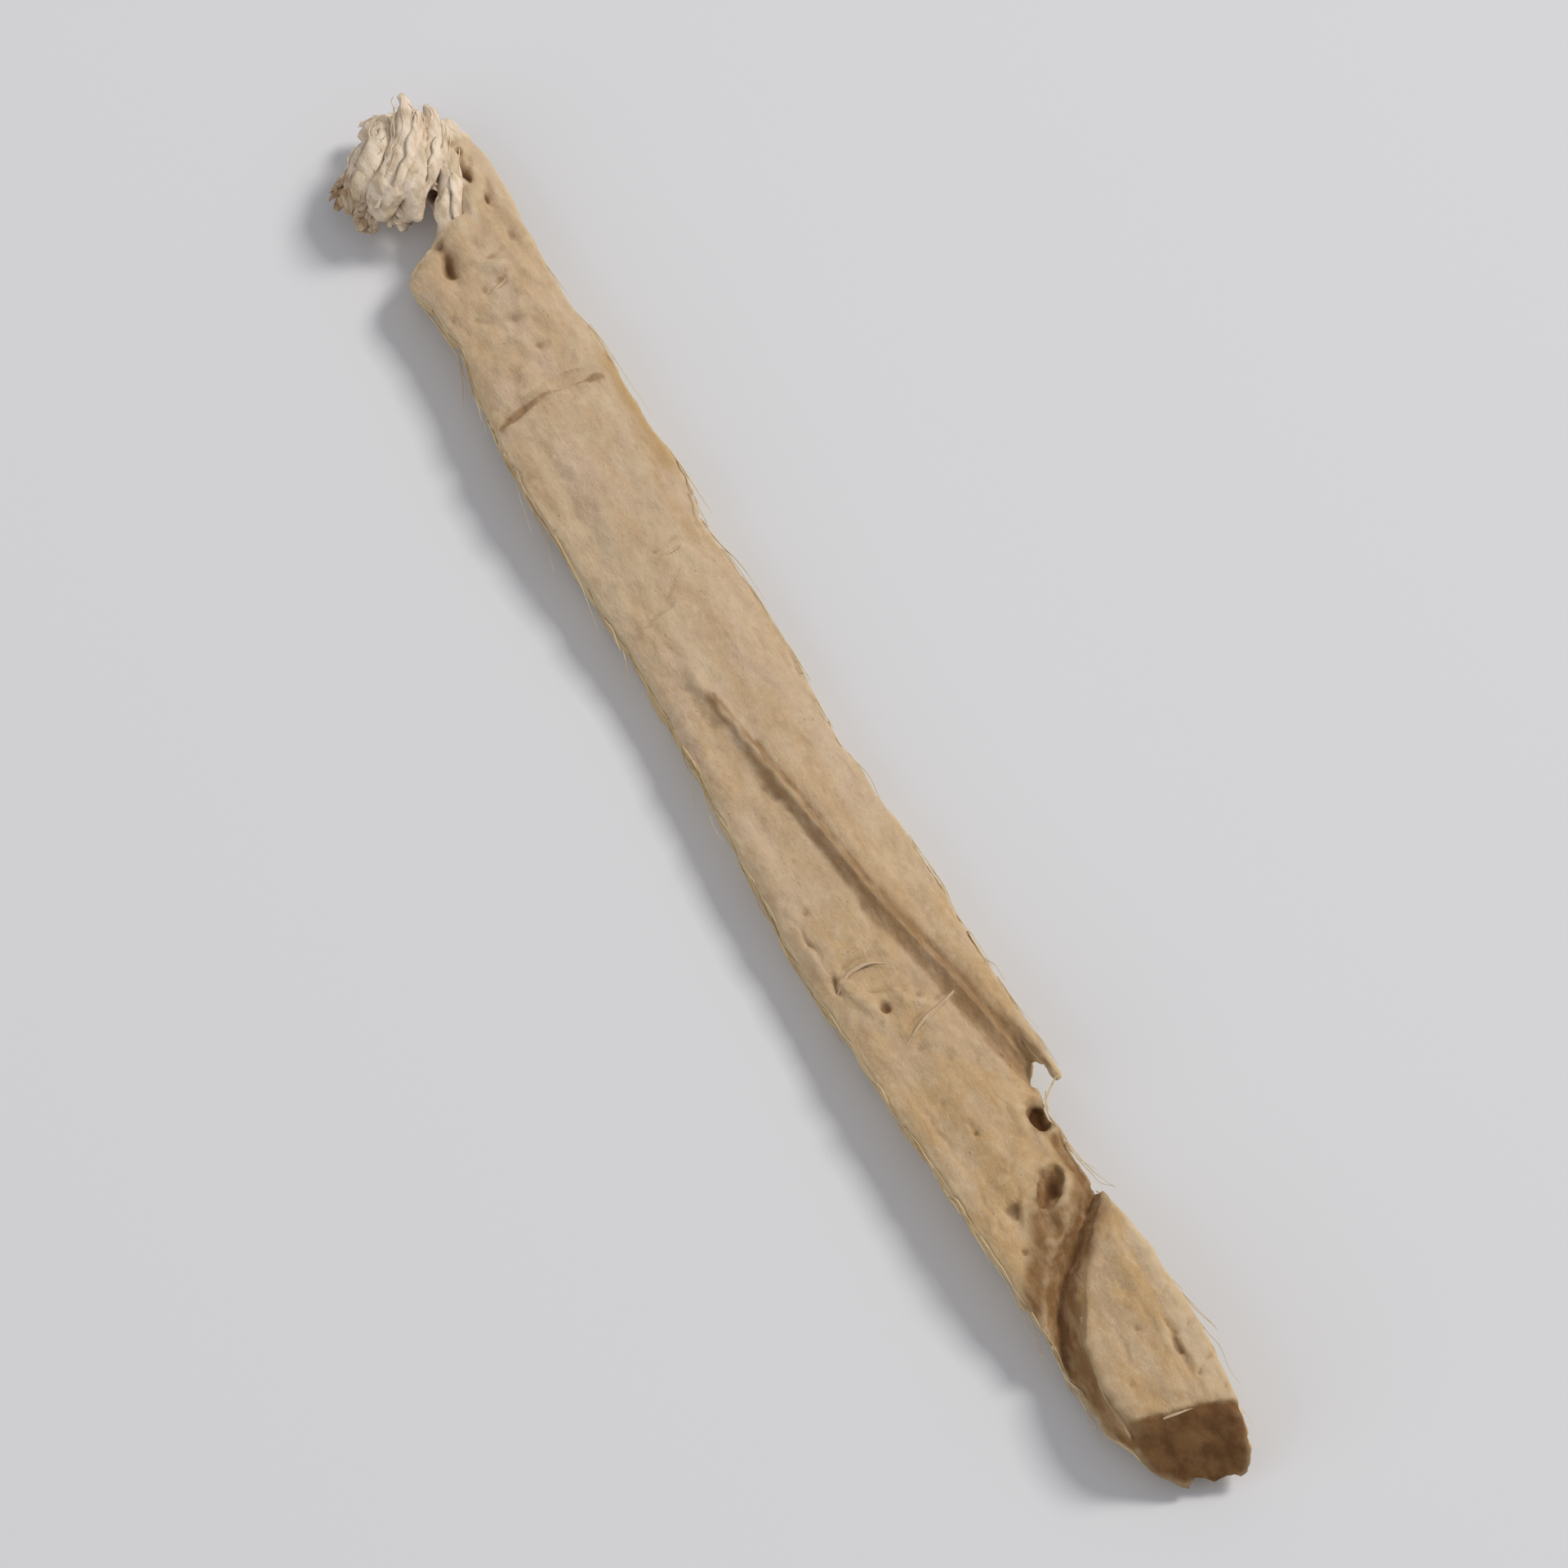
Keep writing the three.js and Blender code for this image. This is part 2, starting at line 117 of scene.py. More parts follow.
# Reading and writing the points of a mesh
def points_of(piece):
    flat = np.empty(len(piece.data.vertices) * 3)
    piece.data.vertices.foreach_get("co", flat)
    return flat.reshape(-1, 3)


def normals_of(piece):
    flat = np.empty(len(piece.data.vertices) * 3, np.float32)
    piece.data.vertex_normals.foreach_get("vector", flat)
    return flat.reshape(-1, 3).astype(float)


def set_points(piece, points):
    piece.data.vertices.foreach_set("co", points.ravel())
    piece.data.update()


def set_mask(piece, name, values):
    attribute = piece.data.attributes.get(name) or piece.data.attributes.new(name, "FLOAT", "POINT")
    attribute.data.foreach_set("value", np.clip(values, 0, 1).astype(np.float32))


def ramp(values, low, high):
    """0 at low, 1 at high, eased between them; low may be the larger."""
    share = np.clip((values - low) / (high - low), 0, 1)
    return share * share * (3 - 2 * share)


def averaged(piece, values, rounds):
    """Values of the points, each replaced by the mean of itself and its neighbours, several times over."""
    edges = np.empty(len(piece.data.edges) * 2, np.int32)
    piece.data.edges.foreach_get("vertices", edges)
    start, end = edges[0::2], edges[1::2]
    count = len(values)
    weight = 1 + np.bincount(start, minlength=count) + np.bincount(end, minlength=count)
    columns = values.reshape(count, -1).astype(float)
    for _ in range(rounds):
        summed = columns.copy()
        for axis in range(columns.shape[1]):
            summed[:, axis] += np.bincount(start, columns[end, axis], minlength=count)
            summed[:, axis] += np.bincount(end, columns[start, axis], minlength=count)
        columns = summed / weight[:, None]
    return columns.reshape(values.shape)


def distance_to(path, places):
    """Distance of places, seen from above, to a line of straight runs, and how far along it they are."""
    path = np.array(path, float)
    lengths = np.linalg.norm(path[1:] - path[:-1], axis=1)
    nearest = np.full(len(places), 99.0)
    travelled = np.zeros(len(places))
    for number, (start, end) in enumerate(zip(path[:-1], path[1:])):
        run = end - start
        share = np.clip(((places - start) @ run) / (run @ run), 0, 1)
        gap = np.hypot(*(places - start - share[:, None] * run).T)
        closer = gap < nearest
        nearest[closer] = gap[closer]
        travelled[closer] = lengths[:number].sum() + share[closer] * lengths[number]
    return nearest, travelled / lengths.sum()


# The skin: an even, fine mesh in the form of the solid
def make_skin():
    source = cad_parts[NODE]
    skin = bpy.data.objects.new("root_skin", source.data.copy())
    bpy.context.scene.collection.objects.link(skin)
    make_active(skin)
    skin.scale = (1 / MM, 1 / MM, 1 / MM)
    bpy.ops.object.transform_apply(location=False, rotation=False, scale=True)
    bpy.ops.object.mode_set(mode="EDIT")
    bpy.ops.mesh.select_all(action="SELECT")
    bpy.ops.mesh.remove_doubles(threshold=0.001)
    bpy.ops.object.mode_set(mode="OBJECT")
    remesh = skin.modifiers.new("even faces", "REMESH")
    remesh.mode = "VOXEL"
    remesh.voxel_size = SKIN_FACE
    apply_modifier(skin, remesh)
    soften = skin.modifiers.new("soften", "SMOOTH")
    soften.factor = SOFTENING
    soften.iterations = SOFTENING_ROUNDS
    apply_modifier(skin, soften)
    return skin


# Line of the long oblique split, as [along, across] in millimetres as drawn, like all the paths below
LONG_SPLIT = ((-4.0, -0.72), (-1.4, -0.46), (1.4, -0.14), (4.3, 0.2), (7.1, 0.8), (9.6, 1.18), (11.4, 1.5))

# Line of the crack across the head, and of the crease beside the knot
RING_CRACK = ((-13.75, -1.75), (-13.94, -0.78), (-14.05, -0.15), (-14.0, 0.71), (-13.9, 1.57))
HEAD_CREASE = ((-20.1, -0.36), (-19.4, -0.45), (-18.5, -0.56))

# Grooves whose walls are worn soft, as drawn: path, reach in millimetres, how many rounds of softening
WORN_GROOVES = (
    (LONG_SPLIT[:-1] + ((10.9, 1.42),), 0.7, 60),
    (RING_CRACK, 0.4, 26),
    (((-18.9, -0.1), (-18.85, -0.8)), 0.75, 60),
    (((15.3, -0.35), (15.6, -0.5)), 0.5, 40),
    (((22.15, -1.7), (22.85, 0.0), (23.35, 1.25)), 0.5, 40),
)

# Places where shade is painted into the colour, the shaded valley by the tail and the hollows round the pits,
# as drawn: path along and across, reach in millimetres
PAINTED_SHADE_PLACES = (
    (((14.8, 1.2), (15.7, 0.4), (16.5, -0.4), (17.4, -1.25), (18.7, -1.9), (20.6, -2.3), (22.4, -2.2)),
     0.78),
    (((15.3, -0.4), (16.3, -1.0), (17.4, -1.9)), 0.7),
    (((14.3, 0.2), (14.75, -0.1)), 0.6),
    (((12.2, 0.95), (12.6, 0.8)), 0.56),
    (((13.2, 1.0), (14.2, 0.95)), 0.3),
)
# Painted shade on the shaded wall beside the long split and in the ring crack, and how strong it is there
SPLIT_WALL_SHADE_PLACES = (
    (((-3.4, -0.68), (-1.4, -0.46)), 0.18),
    (LONG_SPLIT[1:4], 0.36),
    (LONG_SPLIT[3:6], 0.5),
    (LONG_SPLIT[5:], 0.58),
    (RING_CRACK, 0.13),
)
SPLIT_WALL_SHADE_SHARE = 0.75
# Painted shade at the bottoms of the two pits: path along and across, reach in millimetres
SHADED_PITS = (
    (((13.9, 0.14), (15.1, 0.04)), 0.6),
    (((12.05, 0.8), (12.7, 0.65)), 0.42),
)
PALE_RIDGES = (
    (((17.0, 1.35), (19.4, 1.12), (21.6, 0.95), (23.2, 0.75)), 0.42),
)
DENTED_PLACES = (
    (((-20.0, 0.6), (-17.0, 0.4), (-14.8, 0.4)), 2.2),
    (((5.6, -1.2), (7.6, -0.9), (8.8, -0.6)), 1.5),
    (((12.2, 0.6), (14.2, -0.6), (15.4, -1.2)), 1.5),
    (((17.6, 0.9), (20.0, 0.4), (22.4, 0.2)), 1.3),
)
PIT_SURROUNDS = (
    (((14.2, 0.3), (14.8, -0.2)), 0.9),
    (((12.0, 1.0), (12.8, 0.8)), 0.85),
    (((14.6, -1.1), (14.8, -1.3)), 0.5),
    (((10.9, 1.5), (11.3, 1.5)), 0.6),
)


def place_mask(lines, places, ragged):
    """1 close to the lines, 0 beyond their reach, with a ragged border."""
    mask = np.zeros(len(places))
    for path, reach in lines:
        gap, _ = distance_to(path, places)
        mask = np.maximum(mask, ramp(gap + 0.12 * ragged, reach, reach * 0.45))
    return mask


def paint_masks(skin):
    """Where the skin is bark, split wood, cut end, torn knot, rim or pale ridge, and where shade is painted
    into its colour: the shaded valley, the split's wall, the pits.
    """
    points = points_of(skin) - np.array(DRAWN_AT)
    facing = averaged(skin, normals_of(skin), 4)
    x, y, z = points.T
    ragged = np.array([noise.noise(Vector((a * 0.9, b * 2.1, c * 2.1))) for a, b, c in points])
    knot = ramp(x + 1.1 * ragged, KNOT_ENDS + 0.7, KNOT_ENDS - 0.6)
    knot *= np.maximum(ramp(y + 0.4 * ragged, 1.45, 1.0), ramp(x, -22.4, -22.9))
    forward = Vector((math.cos(TAIL_LEAN), 0, math.sin(TAIL_LEAN)))
    forward.rotate(Euler((0, 0, -TAIL_TURN)))
    past_cut = (points - np.array(TAIL_RIM)) @ np.array(forward)
    cut = ramp(past_cut + 0.12 * ragged, -0.32, -0.14) * ramp(x, 20.8, 21.6)
    bark = ramp(facing[:, 2] + 0.12 * ragged, 0.2, 0.5) * (1 - knot) * (1 - cut)
    rim = ramp(y - 0.12 * ragged, 1.62, 1.92) * ramp(x, RIM_BAND[0] - 0.5, RIM_BAND[0] + 0.6)
    rim *= ramp(x, RIM_BAND[1] + 0.8, RIM_BAND[1] - 0.4) * ramp(facing[:, 2], 0.0, 0.4)
    top = ramp(facing[:, 2], -0.3, 0.1)
    # Painted shade over the shaded valley, the pit hollows and the split's shaded wall
    painted_shade = place_mask(PAINTED_SHADE_PLACES, points[:, :2], ragged)
    painted_shade = np.maximum(painted_shade, SPLIT_WALL_SHADE_SHARE * place_mask(SPLIT_WALL_SHADE_PLACES, points[:, :2], ragged)) * top
    # Painted shade at the bottoms of the pits, darker the lower they lie
    pit = place_mask(SHADED_PITS, points[:, :2], ragged) * ramp(z, 1.45, 1.2)
    pale = place_mask(PALE_RIDGES, points[:, :2], ragged) * top * (1 - cut)
    masks = {"bark": bark, "knot": knot, "cut": cut, "rim": rim, "painted_shade": painted_shade, "pale": pale, "pit": pit}
    for name, values in masks.items():
        set_mask(skin, name, values)
    masks["wood"] = (1 - bark) * (1 - knot) * (1 - cut)
    masks["pits"] = place_mask(PIT_SURROUNDS, points[:, :2], ragged)
    masks["dented"] = np.maximum(place_mask(DENTED_PLACES, points[:, :2], ragged), 0.25) * bark
    return masks


def wear_grooves(skin):
    """Softens the walls and the bottom of the worn grooves."""
    for path, reach, rounds in WORN_GROOVES:
        points = points_of(skin)
        gap, _ = distance_to(path, (points - np.array(DRAWN_AT))[:, :2])
        near = ramp(gap, reach, reach * 0.5) * (normals_of(skin)[:, 2] > -0.5)
        set_points(skin, points + (averaged(skin, points, rounds) - points) * near[:, None])


# Sunken places: name, how many rounds of averaging show them, and the depth of the deepest in millimetres
CREVICES = (("crevice", 10, 0.035), ("hollow", 60, 0.16))


def paint_crevices(skin):
    """Where the skin lies deeper or higher than its surroundings; the material paints shade into the deeper
    places and a highlight on the higher ones.
    """
    points = points_of(skin)
    facing = averaged(skin, normals_of(skin), 2)
    for name, rounds, deepest in CREVICES:
        sunk = ((averaged(skin, points, rounds) - points) * facing).sum(axis=1)
        sunk = averaged(skin, sunk, 3) / deepest
        set_mask(skin, name, np.maximum(sunk, 0))
        set_mask(skin, name + "_edge", np.maximum(-sunk, 0))


# Relief: textures pushed into the skin, stretched along the grain
def grain_field(name, stretch, turn=0.0):
    """A guide that stretches a texture along the strip, removed when the relief is done."""
    guide = bpy.data.objects.new(name, None)
    guide.scale = stretch
    guide.rotation_euler = Euler((0, 0, turn))
    bpy.context.scene.collection.objects.link(guide)
    bpy.context.view_layer.update()
    return guide


def cloud(name, size, depth=2):
    texture = bpy.data.textures.new(name, "CLOUDS")
    texture.noise_scale = size
    texture.noise_depth = depth
    return texture


def ridges(name, size, gain=1.0):
    texture = bpy.data.textures.new(name, "MUSGRAVE")
    texture.musgrave_type = "RIDGED_MULTIFRACTAL"
    texture.noise_scale = size
    texture.dimension_max = 0.9
    texture.octaves = 3
    texture.gain = gain
    return texture


WEIGHT_LEVELS = 20


def weigh(skin, name, weights):
    """Weights of a vertex group, in even levels."""
    group = skin.vertex_groups.new(name=name)
    levels = np.round(np.clip(weights, 0, 1) * WEIGHT_LEVELS).astype(int)
    for level in range(1, WEIGHT_LEVELS + 1):
        chosen = np.nonzero(levels == level)[0]
        if len(chosen):
            group.add(chosen.tolist(), level / WEIGHT_LEVELS, "REPLACE")


def push(skin, texture, strength, guide, group, middle=0.5):
    """Moves the skin in and out by a texture, in millimetres, where the group has weight."""
    relief = skin.modifiers.new(texture.name, "DISPLACE")
    relief.texture = texture
    relief.strength = strength
    relief.mid_level = middle
    relief.texture_coords = "OBJECT"
    relief.texture_coords_object = guide
    relief.vertex_group = group
    apply_modifier(skin, relief)


# Way of the torn strands over the knot, seen from above
STRAND_TURN = math.radians(-56)


def add_relief(skin, masks):
    """Waves, dents and wrinkles of the bark, fibres of the wood and the cut end, pleats of the knot."""
    for name, weights in masks.items():
        weigh(skin, name, weights)
    along = grain_field("along the grain", (9, 1, 1))
    drawn_out = grain_field("drawn out", (3, 1, 1), 0.05)
    across = grain_field("across the grain", (0.9, 3.2, 1.5), -0.1)
    even = grain_field("even", (1, 1, 1))
    folds = grain_field("knot folds", (3.4, 1, 1.2), STRAND_TURN)
    push(skin, cloud("bark swell", 1.6), 0.2, drawn_out, "bark")
    push(skin, cloud("bark waves", 1.3, 1), 0.14, drawn_out, "bark")
    push(skin, cloud("bark dents", 0.75, 1), 0.26, even, "dented")
    push(skin, cloud("bark lumps", 0.38, 2), 0.055, even, "bark")
    push(skin, cloud("bark wrinkles", 0.45, 1), 0.06, across, "bark")
    push(skin, ridges("bark cracks", 0.9, 1.2), -0.02, drawn_out, "bark", 0.9)
    push(skin, cloud("bark grain", 0.17, 2), 0.016, even, "bark")
    push(skin, ridges("wood fibres", 0.5), -0.07, along, "wood", 0.9)
    push(skin, cloud("wood splits", 0.22, 3), 0.12, along, "wood")
    push(skin, cloud("wood breaks", 0.6), 0.07, even, "wood")
    push(skin, cloud("cut fibre ends", 0.5, 1), 0.05, drawn_out, "cut")
    push(skin, cloud("cut tears", 0.8, 1), 0.14, drawn_out, "cut")
    push(skin, cloud("pit rims", 0.45, 2), 0.12, even, "pits")
    push(skin, ridges("knot pleats", 0.8, 1.1), -0.1, folds, "knot", 0.9)
    push(skin, cloud("knot crumple", 0.6, 2), 0.24, folds, "knot")
    push(skin, cloud("knot tufts", 0.2, 2), 0.09, even, "knot")
    for guide in (along, drawn_out, across, even, folds):
        bpy.data.objects.remove(guide)


# Lines pressed into the bark or raised on it, as [along, across]; a rise has a negative depth
BARK_LINES = (
    (RING_CRACK, 0.11, 0.05),
    (HEAD_CREASE, 0.15, 0.26),
    (((-12.9, 1.0), (-13.2, 0.2), (-13.1, -1.2)), 0.16, 0.05),
    (((-12.4, 0.6), (-12.55, -0.2), (-12.3, -1.2)), 0.12, 0.04),
    (((-11.6, 0.1), (-11.7, -0.5), (-11.5, -1.1)), 0.12, 0.03),
    (((-8.4, 1.1), (-8.25, 0.5), (-8.2, 0.0)), 0.09, 0.075),
    (((-8.15, 1.1), (-8.0, 0.5), (-7.95, 0.0)), 0.12, -0.04),
    (((-7.5, 0.6), (-7.1, 0.1), (-6.6, -0.4)), 0.08, 0.065),
    (((-6.35, -1.6), (-6.4, -0.95), (-6.6, -0.1)), 0.07, 0.07),
    (((-6.15, -1.5), (-6.2, -0.95), (-6.4, -0.1)), 0.1, -0.03),
    (((-7.85, -1.9), (-7.83, -1.3)), 0.1, 0.04),
    (((-17.85, 0.8), (-17.95, 0.3), (-17.8, -0.15)), 0.19, 0.09),
    (((-17.3, -0.8), (-17.0, -0.55), (-16.65, -0.2), (-16.55, 0.6)), 0.17, 0.08),
    (((-17.6, -1.3), (-17.1, -1.1), (-16.4, -1.2)), 0.13, 0.07),
    (((-18.9, 1.2), (-18.7, 0.6), (-18.75, 0.2)), 0.12, 0.08),
    (((-15.6, 1.2), (-15.55, 0.4), (-15.4, -0.4)), 0.14, 0.035),
    (((-4.6, -0.8), (-2.8, -0.6), (-1.0, -0.42), (1.0, -0.18)), 0.12, -0.1),
    (((-4.9, -0.9), (-3.4, -0.7), (-2.4, -0.58)), 0.24, -0.13),
    (((7.9, 0.8), (8.25, -0.15), (8.7, -1.2)), 0.06, -0.09),
    (((7.6, 0.7), (7.95, -0.2), (8.45, -1.25)), 0.09, 0.06),
    (((6.3, -2.1), (5.95, -1.6), (5.95, -0.9), (6.3, -0.4)), 0.07, -0.08),
    (((6.1, -2.2), (5.7, -1.6), (5.7, -0.9), (6.1, -0.3)), 0.09, 0.07),
    (((6.5, -1.9), (6.8, -1.1), (7.3, -0.3)), 0.1, 0.06),
    (((3.4, -2.1), (4.8, -2.0), (6.6, -2.02)), 0.08, 0.09),
    (((9.8, -1.9), (12.6, -1.75), (15.8, -1.8)), 0.08, 0.05),
    (((9.2, 0.3), (11.0, 0.1), (12.6, 0.2)), 0.07, 0.04),
    (((13.2, -0.5), (14.4, -0.9), (15.4, -1.5)), 0.1, 0.07),
    (((17.4, 0.95), (19.4, 0.72), (21.6, 0.5), (22.8, 0.4)), 0.1, 0.07),
    (((18.4, -0.45), (20.0, -0.75), (22.0, -0.85)), 0.1, 0.05),
    (((20.1, 1.5), (20.3, 1.0), (20.2, 0.65)), 0.08, 0.08),
    (((21.3, 1.4), (21.4, 0.95), (21.7, 0.6)), 0.07, 0.09),
    (((22.2, 1.3), (22.5, 0.9), (22.6, 0.5)), 0.08, 0.07),
    (((18.6, 1.5), (18.9, 1.1), (19.0, 0.8)), 0.07, 0.06),
)
KNOT_LINES = (
    (((-22.7, 0.95), (-22.3, 0.8), (-21.7, 0.55), (-20.9, 0.05)), 0.14, 0.5),
    (((-22.4, 1.55), (-22.1, 1.53), (-21.7, 1.45), (-21.0, 1.2)), 0.1, 0.35),
    (((-23.2, 0.6), (-22.9, 0.4), (-22.2, -0.1), (-21.4, -0.8)), 0.12, 0.24),
    (((-23.9, -0.1), (-23.3, -0.7), (-22.7, -1.3)), 0.12, 0.2),
    (((-24.0, 1.2), (-23.4, 0.9), (-22.9, 0.2)), 0.08, 0.12),
)
# Small dots pressed into the bark: along, across, radius, depth
BARK_DOTS = (
    (7.42, -1.19, 0.16, 0.14), (3.73, -1.67, 0.12, 0.08), (12.09, -0.96, 0.14, 0.12),
    (9.72, -0.39, 0.2, 0.05), (7.48, -0.18, 0.13, 0.08), (-10.2, -0.7, 0.16, 0.04),
    (-3.2, 0.9, 0.14, 0.04), (2.2, -1.2, 0.12, 0.05), (10.8, -1.3, 0.11, 0.06),
    (15.9, -1.55, 0.14, 0.09), (19.6, -0.1, 0.14, 0.06), (21.0, -1.1, 0.12, 0.06),
)


# Loose tips of the knot, as drawn: the tip, a point further in where the taper starts, how far it is drawn in
KNOT_TIPS = (
    ((-21.35, -2.15, 0.35), (-21.75, -1.45, 0.95), 0.3),
    ((-20.9, -1.45, 0.4), (-21.3, -0.65, 1.15), 0.7),
    ((-22.55, -2.3, 0.35), (-22.85, -1.5, 0.85), 0.2),
    ((-22.0, -2.15, 0.6), (-22.5, -1.3, 1.1), 0.2),
    ((-24.5, -0.55, 0.55), (-24.1, 0.2, 0.95), 0.2),
)
TIP_REACH = 0.62
TIP_THINNESS = 0.3


def taper_tips(skin):
    """Thins the loose ends of the knot's strands to ragged points."""
    points = points_of(skin)
    for tip, root, pull in KNOT_TIPS:
        tip = np.array(drawn(*tip))
        inward = np.array(drawn(*root)) - tip
        length = np.linalg.norm(inward)
        inward /= length
        from_tip = (points - tip) @ inward
        axis = tip + from_tip[:, None] * inward
        aside = points - axis
        near = ramp(np.linalg.norm(aside, axis=1), TIP_REACH, TIP_REACH * 0.6)
        near *= ramp(from_tip, length, -0.2)
        points -= aside * (near * (1 - TIP_THINNESS))[:, None]
        points += inward * (near * pull)[:, None]
    set_points(skin, points)


def lines_depth(lines, places):
    """How deep the lines press places in, uneven along each line's way."""
    sunk = np.zeros(len(places))
    for number, (path, wide, deep) in enumerate(lines):
        wavy = places + 0.04 * np.sin(7.0 * places[:, ::-1] + 1.7 * number)
        gap, share = distance_to(path, wavy)
        uneven = 0.7 + 0.3 * np.sin(11.0 * share + number)
        ends = ramp(share, 0.0, 0.15) * ramp(share, 1.0, 0.85)
        sunk += deep * uneven * ends * np.exp(-((gap / wide) ** 2))
    return sunk


def side_of(path, places):
    """Height of places, seen from above, over a line that never turns back: above it is positive."""
    along, across = np.array(path, float).T
    return places[:, 1] - np.interp(places[:, 0], along, across)


# The heights of the peeled side over the split and of the sunken side below it, in millimetres
PEELED_RISE = 0.15
LOWER_FALL = 0.1

# How far the bottom of the split is raised with loose bark, and the reach of that from its line
SPLIT_FILL = 0.24
SPLIT_FILL_REACH = 0.3

# The slope between both sides of the split begins and ends here, across it, in millimetres
SPLIT_SLOPE = (-0.32, 0.22)


def lift_split_edge(skin, masks):
    """The peeled side of the long split stands a little higher than the bark below it."""
    points = points_of(skin)
    places = (points - np.array(DRAWN_AT))[:, :2]
    above = side_of(LONG_SPLIT, places)
    within = ramp(places[:, 0], LONG_SPLIT[0][0] - 0.4, 1.0)
    within *= ramp(places[:, 0], LONG_SPLIT[-1][0] + 0.6, 9.5)
    peeled = ramp(above, *SPLIT_SLOPE)
    lifted = PEELED_RISE * peeled * np.exp(-np.maximum(above, 0) / 0.7)
    lifted -= LOWER_FALL * (1 - peeled) * np.exp(np.minimum(above, 0) / 0.45)
    points[:, 2] += lifted * within * masks["bark"]
    gap, share = distance_to(LONG_SPLIT, places)
    filled = SPLIT_FILL * np.exp(-((gap / SPLIT_FILL_REACH) ** 2))
    filled *= ramp(share, 0.05, 0.3) * ramp(share, 1.0, 0.9)
    points[:, 2] += filled * ramp(above, 0.25, 0.0)
    set_points(skin, points)


# Lower edge of the strip, and how far its bark is raised there, in millimetres
LOWER_EDGE = (
    (-19.3, -1.72), (-18.2, -1.56), (-16.3, -1.5), (-13.4, -1.94), (-8.5, -1.98), (-5.7, -1.9), (-1.4, -2.1),
    (2.8, -2.42), (7.1, -2.55), (13.5, -2.36), (18.2, -2.24),
)
LOW_EDGE_RISE = 0.15


def flatten_low_edge(skin, masks):
    """The bark runs flat out to its lower edge and breaks off there."""
    points = points_of(skin)
    places = (points - np.array(DRAWN_AT))[:, :2]
    from_edge = side_of(LOWER_EDGE, places)
    within = ramp(places[:, 0], LOWER_EDGE[0][0], -18.4) * ramp(places[:, 0], LOWER_EDGE[-1][0], 16.5)
    points[:, 2] += LOW_EDGE_RISE * ramp(from_edge, 1.0, 0.2) * within * ramp(masks["bark"], 0.3, 0.8)
    set_points(skin, points)


# Depth in millimetres from which a pressed line is fully darkened with painted shade
SCORED_FULLY = 0.1


def score_bark(skin, masks):
    """Presses the fine lines and dots into the bark, and the folds into the knot."""
    points = points_of(skin)
    facing = averaged(skin, normals_of(skin), 3)
    places = (points - np.array(DRAWN_AT))[:, :2]
    sunk = lines_depth(BARK_LINES, places)
    for x, y, wide, deep in BARK_DOTS:
        gap = np.hypot(places[:, 0] - x, 1.3 * (places[:, 1] - y))
        sunk += deep * np.exp(-((gap / wide) ** 2))
    sunk *= masks["bark"]
    sunk += lines_depth(KNOT_LINES, places) * ramp(facing[:, 2], 0.0, 0.4)
    set_points(skin, points - facing * sunk[:, None])
    set_mask(skin, "scored", sunk / SCORED_FULLY)


def thin_out(skin):
    """Fewer faces where the skin is plain, as many as before where it is rough."""
    fewer = skin.modifiers.new("fewer faces", "DECIMATE")
    fewer.ratio = min(1.0, SKIN_FACES_KEPT / (2 * len(skin.data.polygons)))
    apply_modifier(skin, fewer)


def keep_in_box(piece):
    """Holds a piece, in millimetres, inside the solid's own box."""
    low, high = (np.array(corner) / MM for corner in CAD_BOX)
    set_points(piece, np.clip(points_of(piece), low, high))


def inside_box(point, margin):
    """A point, in millimetres, held inside the solid's own box with some room to spare."""
    low, high = (np.array(corner) / MM for corner in CAD_BOX)
    return Vector(np.clip(np.array(point), low + margin, high - margin))


# Materials
DRY_ROUGHNESS = 0.9
DRY_SHINE = 0.25


